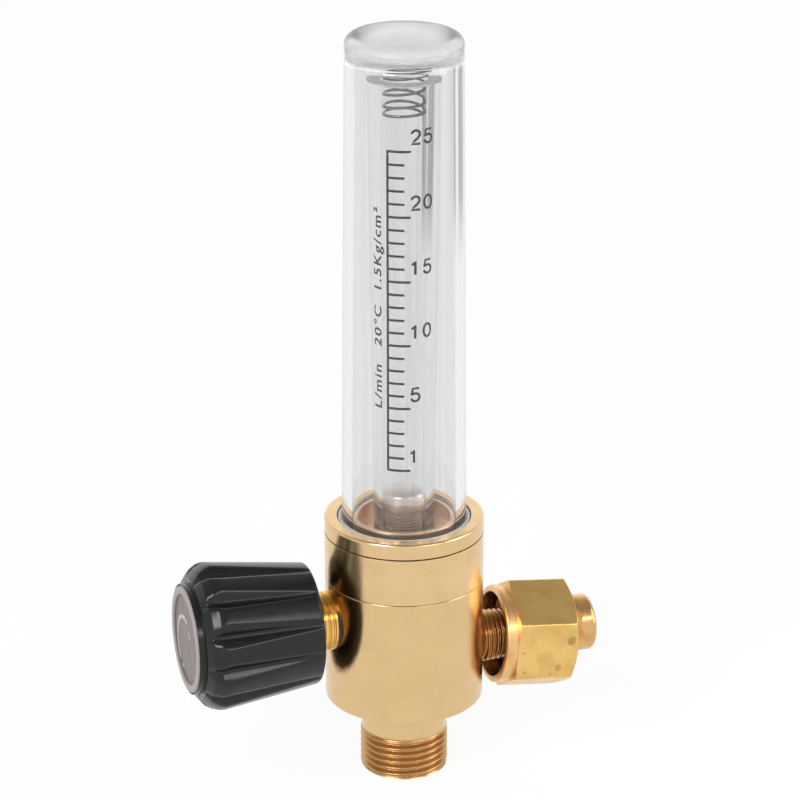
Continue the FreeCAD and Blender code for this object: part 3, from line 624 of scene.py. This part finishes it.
def make_seat():
    rings = []
    for low in np.arange(45.2, 53.0, 0.6):
        rings += [(3.43, low, 0.05), (3.22, low + 0.08, 0.03),
                  (3.22, low + 0.22, 0.03), (3.43, low + 0.3, 0.05)]
    corners = [(0.9, 38.4), (2.9, 38.4), (2.9, 43.6), (3.43, 43.6)] + rings + [
        (3.43, 53.8, 0.05), (3.85, 53.8, 0.1), (3.85, 54.8, 0.12), (0.9, 54.8, 0.1)]
    seat = turned("ringed_seat", corners, closed=True, segments=96)
    dressed(seat, "housing", lightened_seat_finish, ["float_seat"])


def make_float():
    """A base ring, a fine groove, and a top that is half an ellipse: (3.92 cos a, 56.1 + 1.4 sin a)."""
    dome = [(3.92 * math.cos(a), 56.1 + 1.4 * math.sin(a)) for a in np.radians(np.arange(0.0, 86.0, 5.0))]
    corners = [(0.0, 56.55), (1.7, 54.85), (3.92, 54.85, 0.12), (3.92, 55.8, 0.08), (3.8, 55.86, 0.02),
               (3.8, 55.98, 0.02), (3.92, 56.04, 0.04)] + dome + [(0.0, 57.5)]
    bobbin = turned("float_body", corners, segments=128)
    dressed(bobbin, "indicator", float_finish, ["float"])


def make_spring():
    """Wire of radius w about the helix (R cos a, R sin a, z0 + h(a)), where h rises by
    H (s - 0.45 sin(2 pi s) / 2 pi) over its share s, so that the coils are closer at both ends.
    Above the tube the coils lean to the right."""
    wire, radius, turns = 0.26, 3.72, 6.0
    low, high = 129.5 + wire, 141.3 - wire
    a = np.linspace(0, 2 * math.pi * turns, 420)[:, None]
    share = a / (2 * math.pi * turns)
    height = (high - low) * (share - 0.45 * np.sin(2 * math.pi * share) / (2 * math.pi))
    rise = (high - low) * (1 - 0.45 * np.cos(2 * math.pi * share)) / (2 * math.pi * turns)
    lean = 0.9 * np.clip((low + height - 136.7) / 3.0, 0.0, 1.0)
    out = np.stack([np.cos(a), np.sin(a), 0 * a], -1)
    along = np.stack([-radius * np.sin(a), radius * np.cos(a), rise], -1)
    along /= np.linalg.norm(along, axis=-1, keepdims=True)
    across = np.cross(along, out)
    b = np.linspace(0, 2 * math.pi, 14, endpoint=False)[None, :]
    middle = np.stack([radius * np.cos(a) - lean * math.sin(FACING),
                       radius * np.sin(a) + lean * math.cos(FACING), low + height], -1)
    ring = np.cos(b)[..., None] * out + np.sin(b)[..., None] * across
    coil = middle + wire * ring
    first = np.repeat(middle[:1], b.shape[1], axis=1)
    last = np.repeat(middle[-1:], b.shape[1], axis=1)
    coil = np.concatenate([first, coil, last], axis=0)
    spring = surface("stop_spring", coil)
    dressed(spring, "housing", spring_finish, ["float_spring"])


# Printed scale on the tube

def tube_radius(z):
    return 5.7 + 1.1 * np.clip((z - 56.0) / (136.7 - 56.0), 0.0, 1.0)


def on_tube(across, up, lift):
    """A print laid on the tube: across is the arc length to the right of the side that faces
    the scale's reader, so the angle is across / r(z); up is z; lift stands off the surface."""
    radius = tube_radius(up)
    t = FACING + across / radius
    return np.stack([(radius + lift) * np.cos(t), (radius + lift) * np.sin(t), up], -1)


def closed_bar(name, loop):
    """A bar from a loop of points in each row, closed at both ends by a fan to the loop's middle."""
    middle = np.repeat(loop.mean(axis=1, keepdims=True), loop.shape[1], axis=1)
    return surface(name, np.concatenate([middle[:1], loop, middle[-1:]], axis=0), smooth=False)


def stroke_edges(line, half_width):
    """Both edges of a stroke along the line: line - side and line + side, where side is the line's
    direction turned by a right angle, half_width long."""
    run = np.gradient(line, axis=0)
    side = np.stack([-run[:, 1], run[:, 0]], -1)
    side *= half_width / np.linalg.norm(side, axis=1, keepdims=True)
    return np.stack([line - side, line + side], 1)


def inked(name, across, up):
    """A closed bar of ink on the tube over rows of (across, up)."""
    top = on_tube(across, up, INK_TOP)
    under = on_tube(across, up, INK_FOOT)
    return closed_bar(name, np.concatenate([top, under[:, ::-1]], axis=1))


def printed_bar(name, left, right, low, high):
    """A thin closed bar of ink on the tube, from left to right and low to high."""
    steps = max(2, int((right - left) / 0.25) + 1)
    rows = max(2, int((high - low) / 4.0) + 1)
    across = np.linspace(left, right, steps)[None, :] + np.zeros((rows, 1))
    up = np.linspace(low, high, rows)[:, None] + np.zeros((1, steps))
    return inked(name, across, up)


def digit_lines(digit):
    """The strokes of a digit in a box one high, as lists of (x, y)."""
    def arc(cx, cy, rx, ry, first, last):
        return [(cx + rx * math.cos(a), cy + ry * math.sin(a))
                for a in np.radians(np.linspace(first, last, 19))]
    return {
        "0": [arc(0.32, 0.50, 0.28, 0.45, -90, 270)],
        "1": [[(0.06, 0.72), (0.20, 0.80), (0.29, 0.95), (0.29, 0.04)]],
        "2": [arc(0.30, 0.69, 0.26, 0.26, 170, -20)
              + [(0.44, 0.45), (0.22, 0.26), (0.04, 0.05), (0.60, 0.05)]],
        "5": [[(0.56, 0.95), (0.14, 0.95), (0.07, 0.50)] + arc(0.31, 0.33, 0.28, 0.28, 130, -165)],
    }[digit]


def printed_number(name, digits, height, left, low, half_width, pitch):
    """Digits drawn with strokes of one width, as closed bars of ink on the tube."""
    parts = []
    for place, digit in enumerate(digits):
        for line in digit_lines(digit):
            line = np.array(line) * height
            line = line + (left + place * pitch, low)
            edges = stroke_edges(line, half_width)
            parts.append(inked(name, edges[..., 0], edges[..., 1]))
    return parts


def printed_words(name, words, height, left, low, spacing, width):
    """Letters as thin ink on the tube, reading upwards, set spacing apart and drawn width times as wide.
    The letters are cut every CUT millimetres round the tube, so that they follow it."""
    curve = bpy.data.curves.new(name, "FONT")
    curve.body = words
    curve.size = height / 0.7
    curve.space_character = spacing
    curve.offset = 0.05
    curve.resolution_u = 4
    flat = bpy.data.objects.new(name, curve)
    bpy.context.scene.collection.objects.link(flat)
    mesh = bpy.data.meshes.new_from_object(flat)
    bpy.data.objects.remove(flat)
    letters = bmesh.new()
    letters.from_mesh(mesh)
    bpy.data.meshes.remove(mesh)
    for vertex in letters.verts:
        vertex.co = Vector((-vertex.co.y, vertex.co.x * width, 0.0))
    xs = [vertex.co.x for vertex in letters.verts]
    for cut in np.arange(min(xs) + CUT, max(xs), CUT):
        bmesh.ops.bisect_plane(letters, geom=letters.verts[:] + letters.edges[:] + letters.faces[:],
                               plane_co=(float(cut), 0, 0), plane_no=(1, 0, 0))
    bmesh.ops.remove_doubles(letters, verts=letters.verts, dist=1e-5)
    flat_points = np.array([vertex.co for vertex in letters.verts], float)
    laid = on_tube(left + flat_points[:, 0], low + flat_points[:, 1], INK_TOP) * MM
    for vertex, place in zip(letters.verts, laid):
        vertex.co = place
    laid_mesh = bpy.data.meshes.new(name)
    letters.to_mesh(laid_mesh)
    letters.free()
    piece = bpy.data.objects.new(name, laid_mesh)
    bpy.context.scene.collection.objects.link(piece)
    return piece


INK_TOP, INK_FOOT = 0.025, 0.005
INK_HALF = 0.22
CUT = 0.3
TICK_LONG, TICK_SHORT = 1.13, 0.05
DIGIT_PITCH = 2.35
SCALE_ZERO, SCALE_STEP, SCALE_LEFT = 62.6, 2.48, -2.98


def make_scale():
    """Ticks at zero + n steps; every fifth is long and numbered."""
    parts = [printed_bar("scale_line", SCALE_LEFT - INK_HALF, SCALE_LEFT + INK_HALF,
                         SCALE_ZERO - INK_HALF, SCALE_ZERO + 25 * SCALE_STEP + INK_HALF)]
    for tick in range(26):
        z = SCALE_ZERO + tick * SCALE_STEP
        end = TICK_LONG if tick % 5 == 0 else TICK_SHORT
        parts.append(printed_bar("scale_tick", SCALE_LEFT, end, z - INK_HALF, z + INK_HALF))
    for number in (25, 20, 15, 10, 5):
        z = SCALE_ZERO + number * SCALE_STEP
        parts += printed_number("scale_number", str(number), 2.8, 1.15, z + 1.3, 0.23, DIGIT_PITCH)
    parts += printed_number("scale_number", "1", 2.7, 1.0, SCALE_ZERO + SCALE_STEP - 1.0, 0.22, DIGIT_PITCH)
    for words, low in (("L/min", 74.4), ("20°C", 86.7), ("1.5Kg/cm²", 97.3)):
        parts.append(printed_words("scale_unit", words, 1.9, -4.35, low, spacing=1.2, width=1.22))
    scale = joined("printed_scale", parts)
    dressed(scale, "housing", ink_finish)


# Bonnet, knob and cap

def make_bonnet():
    rings = []
    for ring in range(4):
        low = 15.0 + 1.0 * ring
        rings += [(5.6, low, 0.08), (5.45, low + 0.1, 0.05), (5.45, low + 0.3, 0.05), (5.6, low + 0.4, 0.08)]
    corners = [(2.45, 8.6), (5.0, 8.6), (5.0, 14.5), (5.6, 14.5, 0.1)] + rings + [
        (5.6, 19.4, 0.2), (4.2, 19.4), (4.2, 22.0, 0.15), (2.9, 22.0, 0.1), (2.9, 17.6), (2.45, 17.6)]
    bonnet = turned("bonnet_body", corners, closed=True, segments=160, laid=along_valve)
    dressed(bonnet, "housing", bonnet_finish, ["bonnet"])


ROW_SPACING, FINE_SPACING = 0.6, 0.07
LOBES = 12
VALLEY_TURN = math.radians(8.0)
VALLEY_HALF = math.radians(46.0)
VALLEY_LEAST, VALLEY_GROWTH = 0.3, 1.25
VALLEY_START, VALLEY_RUN = 19.5, 17.5
REAR_RIM, REAR_FADE = 18.7, 1.2
HUB_START, HUB_FADE = 41.5, 4.0
HUB_RADIUS = 10.55
FLOOR_HALF, FLOOR_RISE = 0.3, 0.12
LOBE_SOFT = 0.45


def softened_smaller(a, b, soft):
    """The smaller of a and b, less soft / 4 * (1 - |a - b| / soft) ** 2 where they are within soft."""
    return np.minimum(a, b) - soft * 0.25 * np.maximum(1 - np.abs(a - b) / soft, 0.0) ** 2


def close_rows(line, spacing):
    """The line with points added along each side, about spacing(start, end) apart."""
    dense = [line[:1]]
    for before, after in zip(line[:-1], line[1:]):
        steps = max(1, int(np.linalg.norm(after - before) / spacing(before, after)))
        dense.append(before + (after - before) * (np.arange(1, steps + 1) / steps)[:, None])
    return np.vstack(dense)


def lobed(r, z, t):
    """The grip's radius: twelve lobes with a valley between each two. A valley's floor lies below the
    grip's outline by a depth that grows from the rear rim to the shoulder and dies out at the hub,
    and its flanks rise from the floor at a fixed angle, with the meeting of flank and lobe softened."""
    share = (t - VALLEY_TURN) / (2 * math.pi) * LOBES
    off = (share - np.floor(share) - 0.5) / LOBES * 2 * math.pi
    grown = VALLEY_LEAST + VALLEY_GROWTH * np.clip((z - VALLEY_START) / VALLEY_RUN, 0.0, 1.0)
    rear = np.clip((z - REAR_RIM) / REAR_FADE, 0.0, 1.0)
    front = np.clip((HUB_START - z) / HUB_FADE, 0.0, 1.0) ** 0.8
    floor = r - grown * rear * front
    side = np.abs(np.sin(off)) * floor
    flank = (floor + np.maximum(side - FLOOR_HALF, 0.0) / math.tan(VALLEY_HALF)
             + FLOOR_RISE * np.minimum(side, FLOOR_HALF))
    blended = softened_smaller(r, flank, LOBE_SOFT)
    return np.where((r > HUB_RADIUS) & (floor < r - 1e-4), np.maximum(blended, HUB_RADIUS), r)


def make_knob():
    """The grip's outline turned about the valve's axis, with the lobes as a change of radius."""
    line = rounded_line([
        (8.5, 25.0, 0.2), (8.5, 18.6, 0.2), (11.5, 18.6, 0.7), (14.1, 37.6, 3.0), (13.85, 38.8, 1.6),
        (12.95, 40.3, 1.5), (11.5, 41.4, 0.4), (10.5, 41.4, 0.1), (10.5, 42.65, 0.15), (10.25, 42.65),
        (10.25, 42.0), (6.0, 42.0, 0.1), (6.0, 36.4), (3.4, 36.4), (3.4, 25.0)], True)
    rows = close_rows(line, lambda before, after: ROW_SPACING)
    knob = surface("lobed_grip", along_valve(turned_points(rows, 384, lobed)), wrap_rows=True)
    dressed(knob, "handle", knob_finish, ["knob"])


def make_cap():
    corners = [
        (0.0, 42.0), (4.7, 42.0), (4.7, 40.4), (5.9, 40.4), (5.9, 42.0), (10.1, 42.0, 0.1),
        (10.1, 42.95, 0.4), (8.75, 42.95, 0.12), (8.3, 42.5, 0.12), (0.0, 42.5)]
    cap = turned("cap_disc", corners, segments=192, laid=along_valve)
    dressed(cap, "handle", cap_finish, ["knob_cap"])


MARK_TOP, MARK_FOOT = 42.525, 42.505
MARK_REACH, MARK_HALF = 0.8, 0.22


def cap_bar(name, points, half_width):
    """A thin closed bar of print on the cap along points (to the right, up), half_width to each side."""
    edges = stroke_edges(np.array(points, float), half_width)
    flat = np.concatenate([edges, edges[:, ::-1]], axis=1)
    out = np.array([MARK_TOP, MARK_TOP, MARK_FOOT, MARK_FOOT])[None, :] + np.zeros((len(points), 1))
    return closed_bar(name, np.stack([-out, -flat[..., 0], VALVE_Z + flat[..., 1]], -1))


def make_cap_marks():
    """An open arc, a plus inside it and a minus below its foot."""
    a = np.radians(np.linspace(72.0, 229.0, 48))
    arc = np.stack([-1.4 + 5.6 * np.cos(a), -2.0 + 5.6 * np.sin(a)], -1)
    parts = [cap_bar("cap_arc", arc, 0.38)]
    plus, minus = (1.75, 1.5), (-3.2, -6.9)
    for (right, up), (run, rise) in ((plus, (MARK_REACH, 0.0)), (plus, (0.0, MARK_REACH)),
                                     (minus, (MARK_REACH, 0.0))):
        parts.append(cap_bar("cap_stroke", [(right - run, up - rise), (right + run, up + rise)], MARK_HALF))
    marks = joined("cap_marks", parts)
    dressed(marks, "handle", mark_finish)


# Outlet nipple and union nut

def make_nipple():
    """The tail's thread runs from the body to the flange that keeps the nut on."""
    thread_rows = [(4.75, z) for z in np.arange(15.0, 20.2, 0.05)]
    corners = [(3.0, 9.0), (4.75, 9.0)] + thread_rows + [
        (4.75, 20.5), (7.0, 20.5, 0.2), (7.0, 23.5, 0.2), (5.05, 23.5), (5.05, 33.6, 0.6), (5.4, 34.6, 0.6),
        (5.4, 37.5, 1.0), (3.0, 37.5, 0.3)]
    thread = thread_ripple(crest=4.9, start=14.0, end=20.2, depth=0.5, tip=-2.0,
                           run_out=0.5, last=20.1, outer=4.75, pitch=TAIL_PITCH)
    nipple = turned("nipple_body", corners, closed=True, segments=160, ripple=thread, laid=along_outlet)
    dressed(nipple, "housing", nipple_finish, ["outlet_nipple"])


NUT_FIRST_FACE = math.radians(31.3)
HALF_FLATS, CRISPNESS = 9.55, 90
COLLAR_FLOOR, CHAMFER_FLOOR = 8.9, 9.3


def hexagon(r, z, t):
    """The nut's outside radius: the softened smaller of its lathe outline and a hexagon, whose radius is
    a / (sum over faces of cos(t - face) ** p) ** (1 / p) with p high enough to leave crisp edges."""
    faces = NUT_FIRST_FACE + np.arange(6)[:, None, None] * math.pi / 3
    reach = np.maximum(np.cos(t[None] - faces), 0.0) ** CRISPNESS
    flat = HALF_FLATS / reach.sum(axis=0) ** (1 / CRISPNESS)
    return np.where(r > COLLAR_FLOOR, softened_smaller(r, flat, 0.10), r)


def make_nut():
    """Rows of the nut's outline at close steps where its chamfers cross the flats."""
    mouth, end = -12.5, 1.9
    line = rounded_line([
        (6.8, end, 0.15), (9.5, end, 0.1), (11.1, end - 0.85), (11.1, mouth + 2.5),
        (9.4, mouth + 2.1, 0.1), (9.4, mouth, 0.7), (8.15, mouth, 0.12), (7.85, mouth + 1.3),
        (7.85, end - 3.8), (6.8, end - 3.8, 0.2)], True)

    def spacing(before, after):
        sloping = abs(before[0] - after[0]) > 0.2
        return FINE_SPACING if sloping and min(before[0], after[0]) > CHAMFER_FLOOR else ROW_SPACING

    points = turned_points(close_rows(line, spacing), 480, hexagon)
    nut = surface("hexagon_nut", along_nut(points), wrap_rows=True)
    dressed(nut, "swivel_nut", nut_finish, ["union_nut"])


make_body()
make_ring_nut()
make_cover()
make_tube()
make_seat()
make_float()
make_spring()
make_scale()
make_bonnet()
make_knob()
make_cap()
make_cap_marks()
make_nipple()
make_nut()

for node, finish in (
        ("inlet_filter", bronze_finish), ("filter_ring", steel_finish), ("cover_gasket", pale_seal_finish),
        ("tube_seal", pale_seal_finish), ("bonnet_seal", rubber_finish), ("stem_packing", rubber_finish),
        ("gland_bush", bonnet_finish), ("valve_stem", steel_finish), ("knob_bushing", bonnet_finish),
        ("knob_screw", steel_finish)):
    nodes[node].data.materials.clear()
    nodes[node].data.materials.append(finish)


# Floor, lights and camera

FLOOR_Z, FLOOR_REACH = -0.86, 2500.0
CAMERA_TURN, CAMERA_DOWN = math.radians(17.5), math.radians(21.8)
CAMERA_AWAY = 0.640
WHITE = (1.0, 1.0, 1.0, 1.0)


def grey(tone):
    return (tone, tone, tone, 1.0)


def camera_share(paint):
    """1 where the camera, a reflection or a refraction looks, and 0 for light that falls on things."""
    seen, mirrored, refracted = (
        paint.node("ShaderNodeLightPath", out=ray)
        for ray in ("Is Camera Ray", "Is Glossy Ray", "Is Transmission Ray"))
    return seen.top(mirrored).top(refracted)


def make_floor():
    """A wide round plain floor under the thread's end, which keeps a little of the part's shadow."""
    line = np.array([[0.0, FLOOR_Z], [FLOOR_REACH, FLOOR_Z]])
    floor = surface("floor", turned_points(line, 96))
    paint = Paint("pale_floor", Base_Color=grey(0.86), Roughness=0.7)
    paint.material.cycles.emission_sampling = "NONE"
    paint.over(camera_share(paint) * 0.92, paint.node("ShaderNodeEmission", {"Strength": 1.0}))
    floor.data.materials.append(paint.material)


def make_world():
    """A pale room: white where the camera looks. To all else it is brightest at the far wall, less so
    behind the camera and grey at the sides, a quarter brighter low down and darker overhead."""
    world = bpy.data.worlds.new("room")
    bpy.context.scene.world = world
    world.use_nodes = True
    room = Tree(world.node_tree)
    direction = room.node("ShaderNodeTexCoord", out="Generated")
    away = room.node("ShaderNodeVectorMath", {
        0: direction, 1: (math.sin(CAMERA_TURN), math.cos(CAMERA_TURN), 0.0)},
        out="Value", operation="DOT_PRODUCT")
    share = room.node("ShaderNodeMapRange", {"Value": away, "From Min": -1.0})
    walls = room.node("ShaderNodeValToRGB", {0: share},
                      stops=[(0.0, grey(0.86)), (0.5, grey(0.62)), (1.0, WHITE)])
    height = room.node("ShaderNodeSeparateXYZ", {0: direction}, out=2)
    overhead = room.node("ShaderNodeMapRange", {
        "Value": height, "From Min": 0.35, "From Max": 0.85, "To Min": 1.25, "To Max": 0.6},
        interpolation_type="SMOOTHSTEP")
    shaded = room.node("ShaderNodeVectorMath", {0: walls, "Scale": overhead}, operation="SCALE")
    looking = room.node("ShaderNodeLightPath", out="Is Camera Ray")
    background = room.tree.nodes["Background"]
    room.fill(background.inputs["Color"], room.blend(looking, shaded, WHITE))
    background.inputs["Strength"].default_value = 1.0


def make_lamp(name, place, aim, width, height, energy):
    """A soft rectangular lamp at place, facing aim, metres and watts."""
    lamp = bpy.data.lights.new(name, "AREA")
    lamp.shape = "RECTANGLE"
    lamp.size = width
    lamp.size_y = height
    lamp.energy = energy
    shade = bpy.data.objects.new(name, lamp)
    shade.location = place
    shade.rotation_euler = (Vector(aim) - Vector(place)).to_track_quat("-Z", "Y").to_euler()
    bpy.context.scene.collection.objects.link(shade)


def make_camera():
    """At the photograph's angle: turned 17.5 degrees towards the knob, looking down 21.8 degrees."""
    forward = Vector((math.sin(CAMERA_TURN) * math.cos(CAMERA_DOWN),
                      math.cos(CAMERA_TURN) * math.cos(CAMERA_DOWN), -math.sin(CAMERA_DOWN)))
    right = Vector((math.cos(CAMERA_TURN), -math.sin(CAMERA_TURN), 0.0))
    target = Vector((0.0, 0.0, 74.165 * MM)) - right * 0.76 * MM
    view = bpy.data.cameras.new("camera")
    view.lens = 155.3
    view.sensor_width = 36.0
    view.clip_start, view.clip_end = 0.01, 20.0
    camera = bpy.data.objects.new("camera", view)
    up = right.cross(forward)
    rotation = Matrix((right, up, -forward)).transposed()
    camera.matrix_world = Matrix.Translation(target - forward * CAMERA_AWAY) @ rotation.to_4x4()
    bpy.context.scene.collection.objects.link(camera)
    bpy.context.scene.camera = camera


make_floor()
make_world()
make_lamp("soft_left", (-0.75, -0.55, 0.75), (0.0, 0.0, 0.07), 0.45, 0.55, 7.0)
make_lamp("soft_right", (0.85, -0.35, 0.45), (0.0, 0.0, 0.05), 0.5, 0.8, 4.0)
make_lamp("soft_front", (0.35, -0.96, 0.73), (0.0, 0.0, 0.05), 0.55, 0.22, 2.0)
make_camera()
bpy.context.scene.view_settings.view_transform = "Standard"
